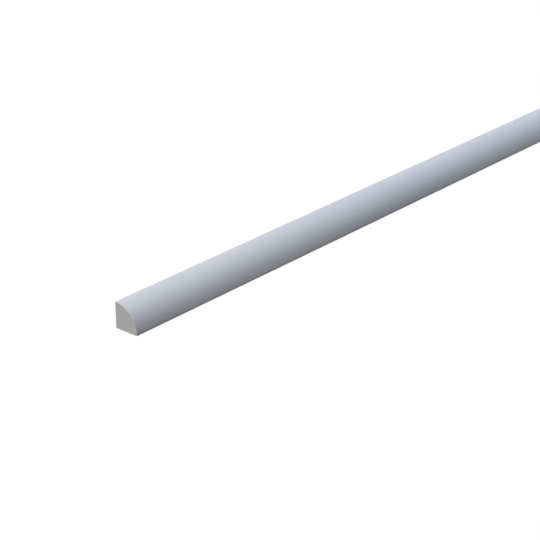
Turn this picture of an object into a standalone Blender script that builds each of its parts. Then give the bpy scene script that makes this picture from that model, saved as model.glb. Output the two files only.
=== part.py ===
"""Quarter round moulding: a straight solid bar whose section is a quarter of a circle.

The bar lies along X on its flat bottom. Its flat back looks towards +Y, and its curved
face looks towards -Y and up. The origin lies on the bottom face, halfway along the
length and halfway across the width.
"""

import math

import bmesh
import bpy

# Driving dimensions, in metres
LENGTH = 2.4
LEG = 0.0175  # width of the bottom, and height of the back
TOE_RADIUS = 0.0005  # the two edges where the curved face meets the back and the bottom
CORNER_RADIUS = 0.0004  # the edge between the back and the bottom

# Straight steps that stand for each round stretch of the section
FACE_STEPS = 48
EDGE_STEPS = 6

# The skin's finish
COLOUR = (0.62, 0.67, 0.77, 1.0)
ROUGHNESS = 0.5
METALLIC = 0.0

RIGHT_ANGLE = math.radians(90)
SHARP_EDGE = math.radians(40)  # faces that meet at more than this keep a crisp edge


def clear_scene():
    """Remove the objects that the scene starts with."""
    for existing in list(bpy.data.objects):
        bpy.data.objects.remove(existing, do_unlink=True)


def plastic_material(name):
    """Smooth white plastic with a satin skin."""
    material = bpy.data.materials.new(name)
    material.use_nodes = True
    shader = material.node_tree.nodes["Principled BSDF"]
    shader.inputs["Base Color"].default_value = COLOUR
    shader.inputs["Roughness"].default_value = ROUGHNESS
    shader.inputs["Metallic"].default_value = METALLIC
    return material


def arc(centre, radius, start, end, steps):
    """Points along an arc, both ends included, with angles anticlockwise from +Y."""
    points = []
    for step in range(steps + 1):
        angle = start + (end - start) * step / steps
        across = centre[0] + radius * math.cos(angle)
        up = centre[1] + radius * math.sin(angle)
        points.append((across, up))
    return points


def section_outline():
    """The section as (across, up) points, anticlockwise from the bottom of the back.

    The curved face is centred on the right angle between the back and the bottom. Its
    radius is such that the rounded toes reach exactly one leg from that right angle.
    """
    back = LEG / 2
    front = -LEG / 2
    toe_reach = LEG - TOE_RADIUS
    toe_centre_distance = math.hypot(toe_reach, TOE_RADIUS)
    face_radius = toe_centre_distance + TOE_RADIUS
    toe_lean = math.atan2(TOE_RADIUS, toe_reach)
    face_start = RIGHT_ANGLE + toe_lean
    face_end = 2 * RIGHT_ANGLE - toe_lean

    corner_centre = (back - CORNER_RADIUS, CORNER_RADIUS)
    top_toe_centre = (back - TOE_RADIUS, toe_reach)
    front_toe_centre = (front + TOE_RADIUS, TOE_RADIUS)

    corner = arc(corner_centre, CORNER_RADIUS, -RIGHT_ANGLE, 0, EDGE_STEPS)
    top_toe = arc(top_toe_centre, TOE_RADIUS, 0, face_start, EDGE_STEPS)
    face = arc((back, 0), face_radius, face_start, face_end, FACE_STEPS)
    front_toe = arc(front_toe_centre, TOE_RADIUS, face_end, 3 * RIGHT_ANGLE, EDGE_STEPS)
    # The face's own first and last points are already the toes' ends.
    return corner + top_toe + face[1:-1] + front_toe


def extruded_curve(name, outline, length):
    """A filled flat outline, extruded by half the length to each side."""
    curve = bpy.data.curves.new(name, "CURVE")
    curve.dimensions = "2D"
    curve.fill_mode = "BOTH"
    curve.extrude = length / 2
    spline = curve.splines.new("POLY")
    spline.points.add(len(outline) - 1)
    for point, (across, up) in zip(spline.points, outline):
        point.co = (across, up, 0, 1)
    spline.use_cyclic_u = True
    return bpy.data.objects.new(name, curve)


def mesh_from_curve(curve_object, name, collection):
    """Replace the curve with a closed mesh object that is smooth along its round edges.

    The curve's sides and ends have points of their own in the same places. They are made
    one, within a hundredth of the outline's shortest step.
    """
    graph = bpy.context.evaluated_depsgraph_get()
    mesh = bpy.data.meshes.new_from_object(curve_object.evaluated_get(graph))
    mesh.name = name
    shortest_step = min(TOE_RADIUS, CORNER_RADIUS) * RIGHT_ANGLE / EDGE_STEPS
    welded = bmesh.new()
    welded.from_mesh(mesh)
    bmesh.ops.remove_doubles(welded, verts=welded.verts, dist=shortest_step / 100)
    bmesh.ops.recalc_face_normals(welded, faces=welded.faces)
    welded.to_mesh(mesh)
    welded.free()
    mesh.shade_smooth()
    mesh.set_sharp_from_angle(angle=SHARP_EDGE)

    solid = bpy.data.objects.new(name, mesh)
    solid.matrix_world = curve_object.matrix_world.copy()
    collection.objects.link(solid)
    bpy.data.objects.remove(curve_object, do_unlink=True)
    return solid


def add_moulding(collection):
    """The moulding, one solid from end to end."""
    section = extruded_curve("section", section_outline(), LENGTH)
    # The section's own X, Y and Z become the world's Y, Z and X.
    section.rotation_euler = (RIGHT_ANGLE, 0, RIGHT_ANGLE)
    collection.objects.link(section)
    bpy.context.view_layer.update()
    moulding = mesh_from_curve(section, "quarter_round_moulding", collection)
    moulding.data.materials.append(plastic_material("white_plastic"))
    return moulding


def main():
    clear_scene()
    collection = bpy.data.collections.new("quarter_round_moulding")
    bpy.context.scene.collection.children.link(collection)
    add_moulding(collection)


main()
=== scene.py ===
"""The look of a quarter round moulding.

One closed mesh takes the place of the solid: a long extruded skin, and a sawn face at
each end with a slightly eased rim. It has a material for the skin and one for the sawn
faces. Around it are a pale floor, soft light and the camera.
"""

from collections import namedtuple
import math

import bpy
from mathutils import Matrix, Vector
from mathutils.geometry import delaunay_2d_cdt
import numpy as np


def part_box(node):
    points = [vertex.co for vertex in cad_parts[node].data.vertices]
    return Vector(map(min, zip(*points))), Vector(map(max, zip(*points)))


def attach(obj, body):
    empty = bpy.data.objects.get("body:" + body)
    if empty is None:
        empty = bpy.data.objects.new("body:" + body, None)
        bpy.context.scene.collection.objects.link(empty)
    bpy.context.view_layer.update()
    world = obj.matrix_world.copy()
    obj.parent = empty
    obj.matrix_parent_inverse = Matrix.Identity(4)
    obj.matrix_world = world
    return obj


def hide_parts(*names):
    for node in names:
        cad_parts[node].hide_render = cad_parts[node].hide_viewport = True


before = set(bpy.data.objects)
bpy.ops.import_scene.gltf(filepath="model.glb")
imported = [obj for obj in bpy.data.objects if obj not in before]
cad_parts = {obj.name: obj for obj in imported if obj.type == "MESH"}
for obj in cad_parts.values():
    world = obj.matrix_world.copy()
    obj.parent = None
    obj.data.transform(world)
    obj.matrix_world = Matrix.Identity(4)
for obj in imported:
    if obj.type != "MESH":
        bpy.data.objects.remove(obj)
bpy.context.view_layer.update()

NODE = "quarter_round_moulding"
RIGHT_ANGLE = math.pi / 2

# Section, in metres: the legs come from the solid, and the radii are those of its edges.
# The flat bottom is at z = 0.
node_low, node_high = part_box(NODE)
BACK = node_high.y
FRONT = node_low.y
LEG = BACK - FRONT
TOE_RADIUS = 0.0005
CORNER_RADIUS = 0.0004
RIM_EASE = 0.00015  # how far the sawn edge is broken

# Mesh steps
FLAT_STEPS = 90  # along the bottom, and up the back
FACE_STEPS = 180  # round the curved face
EDGE_STEPS = 8  # round each small edge of the section
RIM_STEPS = 3  # across the eased rim
LENGTH_STEPS = 100  # along the whole length
END_SPANS = (0.0004, 0.001, 0.002, 0.004, 0.009)  # extra rings, in metres from each end
SAWN_SPACING = 0.00018  # between the points of a sawn face, in metres
SAWN_MARGIN = 0.75 * SAWN_SPACING  # kept free between those points and the eased rim
SAME_PLACE = 1e-9  # points of a sawn face closer than this, in metres, count as one

# The two materials' places in the mesh's own list
SKIN_INDEX = 0
SAWN_INDEX = 1

# Relief, with depths and distances in metres. All of it goes inwards.
NOISE_PERIOD = 4096  # steps before smooth noise repeats, where no other period is given
DIE_LINES = 96  # how many lines the die leaves round the section
DIE_LINE_DEPTH = 0.00001
WAVE_LENGTH = 0.13
WAVE_DEPTH = 0.00002
BLADE_CENTRE = (-0.085, 0.095)  # across and up, where the saw blade stood
MARK_SPACING = 0.0016
MARK_DEPTH = 0.00004
FINE_MARKS = 2.7  # fine saw marks for each coarse one
PIT_COUNT = 26
PIT_RADIUS = 0.0003
PIT_SIZES = (0.6, 1.2)  # the smallest and the largest pit, as shares of that radius
PIT_DEPTH = 0.00006
RIM_FADE = 0.0005  # the marks and pits fade out over this distance from the rim

# Seeds for what is random
DIE_SEED = 3
WAVE_SEED = 4
MARK_SEED = 11
PIT_SEED = 23

# Places on the square map that the materials are baked to, as shares of its side
SKIN_SHARE = 0.8  # the height of the skin, which is as wide as the map
END_SHARE = 0.18  # the side of each sawn face
END_LOWER = 0.81
NEAR_END_LEFT = 0.01
FAR_END_LEFT = 0.21

# Colours as linear red, green and blue
# The skin's blue tint is painted light colour: cool light from above on white plastic
SKIN_COLOUR = (0.655, 0.692, 0.773)
# Darker, cooler skin colour that the drift mixes in as painted light falloff
SKIN_COOL_COLOUR = (0.599, 0.657, 0.760)
# The sawn faces' warmer grey is painted light colour: warmer light from the side on the same
# plastic
SAWN_COLOUR = (0.642, 0.642, 0.620)
# The darker colour mixed in along the lower edges
DARK_EDGE_COLOUR = (0.250, 0.243, 0.225)
FLOOR_COLOUR = (0.17, 0.17, 0.17)
WHITE = (1.0, 1.0, 1.0)

# How fine the skin's noises are: steps in a metre, along, across and up
CLOUD_STEPS = (12, 110, 110)
STREAK_STEPS = (3, 700, 700)
FINE_LINE_STEPS = (2, 2400, 2400)

# How fine the sawn faces' noises are, in the same way
PATCH_STEPS = (60, 240, 240)
GRAIN_STEPS = (2500, 2500, 2500)
KERF_LINES = 2  # kerf lines in the colour for each coarse saw mark in the shape
KERF_DETAIL = 2.0  # finer layers on the noise of the kerf lines
FINE_DETAIL = 3.0  # finer layers on the noise of the streaks and of the grain

# What each noise does to the colour at its lowest and its highest value, as a factor
CLOUD_TONES = (0.97, 1.03)
STREAK_TONES = (0.975, 1.025)
PATCH_TONES = (0.95, 1.05)
KERF_TONES = (0.97, 1.03)
PORE_TONES = (1.0, 0.8)  # outside a pore and inside it
PORE_VALUES = (0.6, 0.72)  # the grain's values where a pore begins and where it is deepest

# Roughness at the lowest and the highest value of the streaks and of the grain
SKIN_ROUGHNESS = (0.38, 0.54)
SAWN_ROUGHNESS = (0.66, 0.9)

# Depths in metres that are only in the shading
FINE_LINE_DEPTH = 0.00001
GRAIN_DEPTH = 0.00004

# The skin's colour drifts slowly along the length, by a noise that is read from here. Over the
# stretch that the camera sees, the drift is painted light falloff, darker and cooler away from
# the near end; beyond it, it is random tone.
DRIFT_START = 35.5
DRIFT_RATE = 1.5  # for each metre
DRIFT_LOW = 0.228
DRIFT_HIGH = 0.677

# The colour is darker along the skin's two lower edges, and along the lower edge of each sawn
# face: how far the darkening reaches, in metres, and how much it covers at the edge
SKIN_DARK_EDGE_WIDTH = 0.0019
SKIN_DARK_EDGE = 1.0
SAWN_DARK_EDGE_WIDTH = 0.0011
SAWN_DARK_EDGE = 0.28
DARK_EDGE_STEPS = (60, 300, 300)  # how fine the darkening's patches are, in steps in a metre
DARK_EDGE_REACH = (0.4, 1.6)  # the least and the greatest reach, as shares of the width

# Light
LIGHT_FROM = Vector((-0.43, 0.16, 0.888))
LIGHT_STRENGTH = 2.52
LIGHT_SPREAD = math.radians(50)
AMBIENT = 0.2
FLOOR_GLOW = 0.86  # what the floor's own shade lacks of white, where it is seen
FLOOR_SIZE = 60.0  # in metres

# Camera, fitted to the cut end and the long edges of the moulding in the picture
CAMERA_OFFSET = Vector((-0.61432, -0.63786, 0.43867))  # from the foot of the near end
CAMERA_HEADING = math.radians(49.417)  # from +Y towards +X
CAMERA_DIP = math.radians(24.316)
CAMERA_LENS = 110.95  # focal length, in millimetres
CAMERA_SENSOR = 36.0  # width, in millimetres

# A stretch of the mesh. The faces hold vertex numbers of the whole mesh, and map_places
# has a place for each of their corners.
Part = namedtuple("Part", "points faces map_places material_index")


# The section

def arc(centre, radius, start, end, steps):
    """Points and outward normals along an arc, both ends included, as rows of (y, z)."""
    angles = np.linspace(start, end, steps + 1)
    normals = np.stack([np.cos(angles), np.sin(angles)], axis=1)
    return np.array(centre) + radius * normals, normals


def straight(start, end, normal, steps):
    """Points and outward normals along a straight edge, both ends included."""
    share = np.linspace(0, 1, steps + 1)[:, None]
    points = (1 - share) * np.array(start) + share * np.array(end)
    return points, np.tile(np.array(normal, float), (steps + 1, 1))


def chained(*stretches):
    """Stretches that meet end to end in a ring, as one run without doubled points."""
    points = np.concatenate([points[:-1] for points, normals in stretches])
    normals = np.concatenate([normals[:-1] for points, normals in stretches])
    return points, normals


def section_outline():
    """The section as a ring of (y, z) points, with outward normals.

    It starts at the right angle and runs along the bottom, up the curved face and down the
    back. The face's radius is such that the rounded toes reach exactly one leg.
    """
    toe_reach = LEG - TOE_RADIUS
    face_radius = math.hypot(toe_reach, TOE_RADIUS) + TOE_RADIUS
    toe_lean = math.atan2(TOE_RADIUS, toe_reach)
    face_foot = 2 * RIGHT_ANGLE - toe_lean
    face_top = RIGHT_ANGLE + toe_lean
    corner = (BACK - CORNER_RADIUS, CORNER_RADIUS)
    front_toe = (FRONT + TOE_RADIUS, TOE_RADIUS)
    top_toe = (BACK - TOE_RADIUS, toe_reach)
    return chained(
        arc(corner, CORNER_RADIUS, 0, -RIGHT_ANGLE, EDGE_STEPS),
        straight((corner[0], 0), (front_toe[0], 0), (0, -1), FLAT_STEPS),
        arc(front_toe, TOE_RADIUS, 3 * RIGHT_ANGLE, face_foot, EDGE_STEPS),
        arc((BACK, 0), face_radius, face_foot, face_top, FACE_STEPS),
        arc(top_toe, TOE_RADIUS, face_top, 0, EDGE_STEPS),
        straight((BACK, top_toe[1]), (BACK, corner[1]), (1, 0), FLAT_STEPS),
    )


# Relief

def eased(share):
    """A share kept from 0 to 1, with a slow start and a slow end."""
    share = np.clip(share, 0, 1)
    return share * share * (3 - 2 * share)


def smooth_noise(places, seed, period=NOISE_PERIOD):
    """Smooth random values from 0 to 1 that change with each whole step, and repeat."""
    knots = np.random.default_rng(seed).random(period)
    whole = np.floor(places).astype(int)
    low = knots[whole % period]
    high = knots[(whole + 1) % period]
    return low + (high - low) * eased(places - whole)


def skin_depth(x, round_share):
    """How far the skin lies below the true section, by ring and by point round it."""
    die_lines = DIE_LINE_DEPTH * smooth_noise(round_share * DIE_LINES, DIE_SEED, DIE_LINES)
    swell = smooth_noise((x - node_low.x) / WAVE_LENGTH, WAVE_SEED)[:, None]
    turn = 2 * math.pi * (round_share[None, :] + swell)
    waves = WAVE_DEPTH * swell * (1 + np.sin(turn)) / 2
    return die_lines[None, :] + waves


def mark_depth(places):
    """How deep the saw's marks, which are arcs round the blade's centre, lie at (y, z) places."""
    steps = np.linalg.norm(places - np.array(BLADE_CENTRE), axis=1) / MARK_SPACING
    coarse = smooth_noise(steps, MARK_SEED)
    fine = smooth_noise(FINE_MARKS * steps, MARK_SEED + 1)
    # The coarse marks count twice, and the fine ones once.
    return MARK_DEPTH * (2 * coarse + fine) / 3


def pit_depth(places, seed):
    """How deep the small pits that the saw tears lie at (y, z) places."""
    random = np.random.default_rng(seed)
    depth = np.zeros(len(places))
    for centre in random.choice(places, PIT_COUNT):
        radius = PIT_RADIUS * random.uniform(*PIT_SIZES)
        distance = np.linalg.norm(places - centre, axis=1)
        depth = np.maximum(depth, PIT_DEPTH * np.clip(1 - (distance / radius) ** 2, 0, 1))
    return depth


# The mesh

def ring_quads(numbers):
    """The quads between rings of points, which face outwards along the section's ring."""
    quads = np.stack([numbers[:-1, :-1], numbers[1:, :-1], numbers[1:, 1:], numbers[:-1, 1:]])
    return quads.reshape(4, -1).T


def ring_places():
    """Each ring's x, and how far the ring lies inside the section at the eased rims."""
    angles = np.linspace(0, RIGHT_ANGLE, RIM_STEPS + 1)
    rim_inset = RIM_EASE * (1 - np.sin(angles))
    rim_x = RIM_EASE * (1 - np.cos(angles))
    from_end = np.concatenate([rim_x, END_SPANS])
    spacing = (node_high.x - node_low.x) / LENGTH_STEPS
    middle = np.arange(node_low.x + spacing, node_high.x - spacing / 2, spacing)
    x = np.concatenate([node_low.x + from_end, middle, node_high.x - from_end[::-1]])
    inset = np.zeros(len(x))
    inset[: RIM_STEPS + 1] = rim_inset
    inset[-RIM_STEPS - 1 :] = rim_inset[::-1]
    return x, inset


def skin_part():
    """The skin, as rings of points along the moulding."""
    outline, normals = section_outline()
    count = len(outline)
    x, inset = ring_places()
    depth = inset[:, None] + skin_depth(x, np.arange(count) / count)
    across_up = outline[None, :, :] - normals[None, :, :] * depth[:, :, None]
    points = np.dstack([np.broadcast_to(x[:, None], depth.shape), across_up])

    numbers = np.arange(depth.size).reshape(depth.shape)
    faces = ring_quads(np.column_stack([numbers, numbers[:, 0]]))

    spans = np.linalg.norm(np.roll(outline, -1, axis=0) - outline, axis=1)
    walked = np.concatenate([[0], np.cumsum(spans)]) / spans.sum()
    along = (x - x[0]) / (x[-1] - x[0])
    map_grid = np.dstack(np.broadcast_arrays(along[:, None], SKIN_SHARE * walked[None, :]))
    map_numbers = np.arange(map_grid.size // 2).reshape(map_grid.shape[:2])
    map_places = map_grid.reshape(-1, 2)[ring_quads(map_numbers)]
    return Part(points.reshape(-1, 3), faces, map_places, SKIN_INDEX), points, numbers


def sawn_places():
    """Staggered (y, z) places that fill the section inside the eased rim.

    They are the corners of equal-sided triangles.
    """
    columns = np.arange(FRONT, BACK, SAWN_SPACING)
    rows = np.arange(0, LEG, SAWN_SPACING * math.sqrt(3) / 2)
    across, up = np.meshgrid(columns, rows)
    across[1::2] += SAWN_SPACING / 2
    places = np.column_stack([across.ravel(), up.ravel()])
    from_back = BACK - places[:, 0]
    from_face = LEG - np.hypot(from_back, places[:, 1])
    room = np.min([from_back, places[:, 1], from_face], axis=0)
    return places[room > RIM_EASE + SAWN_MARGIN]


def filled(rim, inside):
    """Triangles that fill the rim and use the places inside it, and face along +X."""
    places = [Vector(place) for place in np.concatenate([rim, inside])]
    outline = list(range(len(rim)))[::-1]
    inside_only = 1
    found = delaunay_2d_cdt(places, [], [outline], inside_only, SAME_PLACE)
    triangles, origins = found[2], found[3]
    number = np.array([origin[0] for origin in origins])
    return number[np.array(triangles)]


def end_part(ring, ring_numbers, inwards, first_number, map_left, seed):
    """A sawn face, which closes the skin's first or last ring."""
    rim = ring[:, 1:]
    inside = sawn_places()
    rim_distance = np.linalg.norm(inside[:, None] - rim[None], axis=2).min(axis=1)
    depth = np.maximum(mark_depth(inside), pit_depth(inside, seed))
    depth = depth * eased(rim_distance / RIM_FADE)
    points = np.column_stack([ring[0, 0] + inwards * depth, inside])

    triangles = filled(rim, inside)
    # Seen from outside, the back is on the left of the near end and on the right of the far.
    places = np.concatenate([rim, inside])
    across = places[:, 0] - FRONT
    if inwards > 0:
        triangles = triangles[:, ::-1]
        across = BACK - places[:, 0]
    on_map = np.column_stack([across, places[:, 1]]) / LEG * END_SHARE + (map_left, END_LOWER)
    numbers = np.concatenate([ring_numbers, first_number + np.arange(len(inside))])
    return Part(points, numbers[triangles], on_map[triangles], SAWN_INDEX)


def moulding_mesh():
    """The moulding as one closed mesh."""
    skin, rings, numbers = skin_part()
    count = len(skin.points)
    near = end_part(rings[0], numbers[0], 1, count, NEAR_END_LEFT, PIT_SEED)
    count += len(near.points)
    far = end_part(rings[-1], numbers[-1], -1, count, FAR_END_LEFT, PIT_SEED + 1)
    parts = (skin, near, far)

    points = np.concatenate([part.points for part in parts])
    faces = [face for part in parts for face in part.faces.tolist()]
    material_indices = np.concatenate(
        [np.full(len(part.faces), part.material_index) for part in parts]
    )
    map_places = np.concatenate([part.map_places.reshape(-1, 2) for part in parts])

    mesh = bpy.data.meshes.new("moulding")
    mesh.from_pydata(points.tolist(), [], faces)
    mesh.polygons.foreach_set("material_index", material_indices)
    bake_map = mesh.uv_layers.new(name="OFBake")
    bake_map.uv.foreach_set("vector", map_places.astype(np.float32).ravel())
    mesh.shade_smooth()
    return mesh


# Materials

class Nodes:
    """Adds nodes to a tree. A value is a number, a colour or another node's output."""

    def __init__(self, tree):
        self.tree = tree

    def add(self, kind, **settings):
        node = self.tree.nodes.new(kind)
        for name, value in settings.items():
            setattr(node, name, value)
        return node

    def feed(self, value, socket):
        if isinstance(value, bpy.types.NodeSocket):
            self.tree.links.new(value, socket)
        elif socket.type == "RGBA":
            socket.default_value = (*value, 1.0)
        else:
            socket.default_value = value

    def position(self, scale=(1, 1, 1), offset=(0, 0, 0)):
        """The place on the object in metres, times a scale and moved by an offset."""
        coordinates = self.add("ShaderNodeTexCoord")
        mapping = self.add("ShaderNodeMapping")
        self.feed(scale, mapping.inputs["Scale"])
        self.feed(offset, mapping.inputs["Location"])
        self.feed(coordinates.outputs["Object"], mapping.inputs["Vector"])
        return mapping.outputs["Vector"]

    def axis(self, vector, name):
        """One of the three numbers of a vector."""
        split = self.add("ShaderNodeSeparateXYZ")
        self.feed(vector, split.inputs["Vector"])
        return split.outputs[name]

    def line_distance(self, across, up):
        """The distance from a line along X, in metres."""
        node = self.add("ShaderNodeVectorMath", operation="LENGTH")
        self.feed(self.position((0, 1, 1), (0, -across, -up)), node.inputs["Vector"])
        return node.outputs["Value"]

    def noise(self, vector, detail=2.0):
        texture = self.add("ShaderNodeTexNoise")
        self.feed(1.0, texture.inputs["Scale"])
        self.feed(detail, texture.inputs["Detail"])
        self.feed(vector, texture.inputs["Vector"])
        return texture.outputs["Fac"]

    def line_noise(self, value, detail=1.0):
        """Noise that changes with one number only."""
        texture = self.add("ShaderNodeTexNoise", noise_dimensions="1D")
        self.feed(1.0, texture.inputs["Scale"])
        self.feed(detail, texture.inputs["Detail"])
        self.feed(value, texture.inputs["W"])
        return texture.outputs["Fac"]

    def ranged(self, value, to_low, to_high, low=0.0, high=1.0):
        """A value moved from one range to another, and kept inside it."""
        node = self.add("ShaderNodeMapRange")
        self.feed(low, node.inputs["From Min"])
        self.feed(high, node.inputs["From Max"])
        self.feed(to_low, node.inputs["To Min"])
        self.feed(to_high, node.inputs["To Max"])
        self.feed(value, node.inputs["Value"])
        return node.outputs["Result"]

    def combined(self, operation, first, second):
        node = self.add("ShaderNodeMath", operation=operation)
        self.feed(first, node.inputs[0])
        self.feed(second, node.inputs[1])
        return node.outputs["Value"]

    def mixed(self, share, first, second):
        """A colour between two others."""
        node = self.add("ShaderNodeMix", data_type="RGBA")
        first_socket, second_socket = [held for held in node.inputs if held.type == "RGBA"]
        self.feed(share, node.inputs[0])
        self.feed(first, first_socket)
        self.feed(second, second_socket)
        return next(held for held in node.outputs if held.type == "RGBA")

    def toned(self, colour, tone):
        """A colour made darker or lighter by a value."""
        node = self.add("ShaderNodeVectorMath", operation="SCALE")
        self.feed(colour, node.inputs["Vector"])
        self.feed(tone, node.inputs["Scale"])
        return node.outputs["Vector"]

    def bump(self, height, depth):
        """A normal for a height from 0 to 1 that stands for a depth in metres."""
        node = self.add("ShaderNodeBump")
        self.feed(depth, node.inputs["Distance"])
        self.feed(height, node.inputs["Height"])
        return node.outputs["Normal"]

    def darkened_near_edge(self, colour, distance, width, share):
        """A colour made darker near an edge, reaching in unevenly."""
        least, greatest = DARK_EDGE_REACH
        patches = self.noise(self.position(DARK_EDGE_STEPS))
        reach = self.ranged(patches, least * width, greatest * width)
        cover = self.ranged(self.combined("DIVIDE", distance, reach), share, 0)
        return self.mixed(cover, colour, DARK_EDGE_COLOUR)


def new_material(name):
    """A material, its node helper and its shader."""
    material = bpy.data.materials.new(name)
    material.use_nodes = True
    shader = material.node_tree.nodes["Principled BSDF"]
    return material, Nodes(material.node_tree), shader


def skin_material():
    """Satin extruded skin: a slow drift of the tint that paints light falloff along the bar, soft
    clouds and streaks along the length.
    """
    material, nodes, shader = new_material("extruded_skin")
    along = nodes.axis(nodes.position((DRIFT_RATE, 1, 1), (DRIFT_START, 0, 0)), "X")
    drift = nodes.ranged(nodes.line_noise(along), 0, 1, DRIFT_LOW, DRIFT_HIGH)
    # Painted light falloff: darker and cooler away from the near end
    tint = nodes.mixed(drift, SKIN_COLOUR, SKIN_COOL_COLOUR)

    cloud = nodes.noise(nodes.position(CLOUD_STEPS))
    streak = nodes.noise(nodes.position(STREAK_STEPS), FINE_DETAIL)
    cloud_tone = nodes.ranged(cloud, *CLOUD_TONES)
    streak_tone = nodes.ranged(streak, *STREAK_TONES)
    plain = nodes.toned(tint, nodes.combined("MULTIPLY", cloud_tone, streak_tone))

    from_back = nodes.line_distance(BACK, 0)
    from_front = nodes.line_distance(FRONT, 0)
    from_edge = nodes.combined("MINIMUM", from_back, from_front)
    # Darker along the skin's two lower edges
    colour = nodes.darkened_near_edge(plain, from_edge, SKIN_DARK_EDGE_WIDTH, SKIN_DARK_EDGE)
    nodes.feed(colour, shader.inputs["Base Color"])

    nodes.feed(nodes.ranged(streak, *SKIN_ROUGHNESS), shader.inputs["Roughness"])
    fine_lines = nodes.noise(nodes.position(FINE_LINE_STEPS))
    nodes.feed(nodes.bump(fine_lines, FINE_LINE_DEPTH), shader.inputs["Normal"])
    return material


def sawn_material():
    """Matt sawn plastic: faint kerf lines, and specks where fine pores are cut open."""
    material, nodes, shader = new_material("sawn_face")
    from_blade = nodes.line_distance(*BLADE_CENTRE)
    kerf_place = nodes.combined("MULTIPLY", from_blade, KERF_LINES / MARK_SPACING)
    kerf = nodes.line_noise(kerf_place, KERF_DETAIL)

    patch = nodes.noise(nodes.position(PATCH_STEPS))
    grain = nodes.noise(nodes.position(GRAIN_STEPS), FINE_DETAIL)
    pore_tone = nodes.ranged(grain, *PORE_TONES, *PORE_VALUES)
    tone = nodes.combined("MULTIPLY", nodes.ranged(patch, *PATCH_TONES), pore_tone)
    tone = nodes.combined("MULTIPLY", tone, nodes.ranged(kerf, *KERF_TONES))
    plain = nodes.toned(SAWN_COLOUR, tone)

    from_bottom = nodes.axis(nodes.position(), "Z")
    # Darker along the sawn face's lower edge
    colour = nodes.darkened_near_edge(plain, from_bottom, SAWN_DARK_EDGE_WIDTH, SAWN_DARK_EDGE)
    nodes.feed(colour, shader.inputs["Base Color"])

    nodes.feed(nodes.ranged(grain, *SAWN_ROUGHNESS), shader.inputs["Roughness"])
    nodes.feed(nodes.bump(grain, GRAIN_DEPTH), shader.inputs["Normal"])
    return material


def seen_share(nodes):
    """1 for what the camera, mirrors and glass see, and 0 for the light on surfaces."""
    path = nodes.add("ShaderNodeLightPath")
    mirrored = nodes.combined(
        "MAXIMUM", path.outputs["Is Glossy Ray"], path.outputs["Is Transmission Ray"]
    )
    return nodes.combined("MAXIMUM", mirrored, path.outputs["Is Camera Ray"])


def floor_material():
    """A matt floor that keeps the shadow, and otherwise shows white."""
    material = bpy.data.materials.new("pale_floor")
    material.use_nodes = True
    material.node_tree.nodes.clear()
    nodes = Nodes(material.node_tree)
    matt = nodes.add("ShaderNodeBsdfDiffuse")
    nodes.feed(FLOOR_COLOUR, matt.inputs["Color"])
    glow = nodes.add("ShaderNodeEmission")
    nodes.feed(nodes.combined("MULTIPLY", seen_share(nodes), FLOOR_GLOW), glow.inputs["Strength"])
    both = nodes.add("ShaderNodeAddShader")
    nodes.feed(matt.outputs["BSDF"], both.inputs[0])
    nodes.feed(glow.outputs["Emission"], both.inputs[1])
    output = nodes.add("ShaderNodeOutputMaterial")
    nodes.feed(both.outputs["Shader"], output.inputs["Surface"])
    return material


# The scene

def add_moulding():
    mesh = moulding_mesh()
    mesh.materials.append(skin_material())
    mesh.materials.append(sawn_material())
    moulding = bpy.data.objects.new("moulding", mesh)
    bpy.context.scene.collection.objects.link(moulding)
    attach(moulding, "root")
    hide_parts(NODE)


def add_floor():
    bpy.ops.mesh.primitive_plane_add(size=FLOOR_SIZE)
    floor = bpy.context.object
    floor.name = "floor"
    floor.data.materials.append(floor_material())


def add_light():
    """One wide soft light from above and a little behind the near end."""
    lamp = bpy.data.lights.new("soft_light", "SUN")
    lamp.energy = LIGHT_STRENGTH
    lamp.angle = LIGHT_SPREAD
    light = bpy.data.objects.new("soft_light", lamp)
    light.rotation_euler = LIGHT_FROM.to_track_quat("Z", "Y").to_euler()
    bpy.context.scene.collection.objects.link(light)


def set_world():
    """Soft light from all round, and white where it is seen."""
    world = bpy.data.worlds.new("studio")
    world.use_nodes = True
    bpy.context.scene.world = world
    nodes = Nodes(world.node_tree)
    background = world.node_tree.nodes["Background"]
    nodes.feed(WHITE, background.inputs["Color"])
    nodes.feed(nodes.ranged(seen_share(nodes), AMBIENT, 1.0), background.inputs["Strength"])


def add_camera():
    lens = bpy.data.cameras.new("camera")
    lens.sensor_width = CAMERA_SENSOR
    lens.lens = CAMERA_LENS
    camera = bpy.data.objects.new("camera", lens)
    near_foot = Vector((node_low.x, (FRONT + BACK) / 2, 0))
    camera.location = near_foot + CAMERA_OFFSET
    # A camera that isn't turned looks straight down.
    camera.rotation_euler = (RIGHT_ANGLE - CAMERA_DIP, 0, -CAMERA_HEADING)
    bpy.context.scene.collection.objects.link(camera)
    bpy.context.scene.camera = camera


add_moulding()
add_floor()
add_light()
set_world()
add_camera()
bpy.context.scene.view_settings.view_transform = "Standard"
bpy.context.view_layer.update()
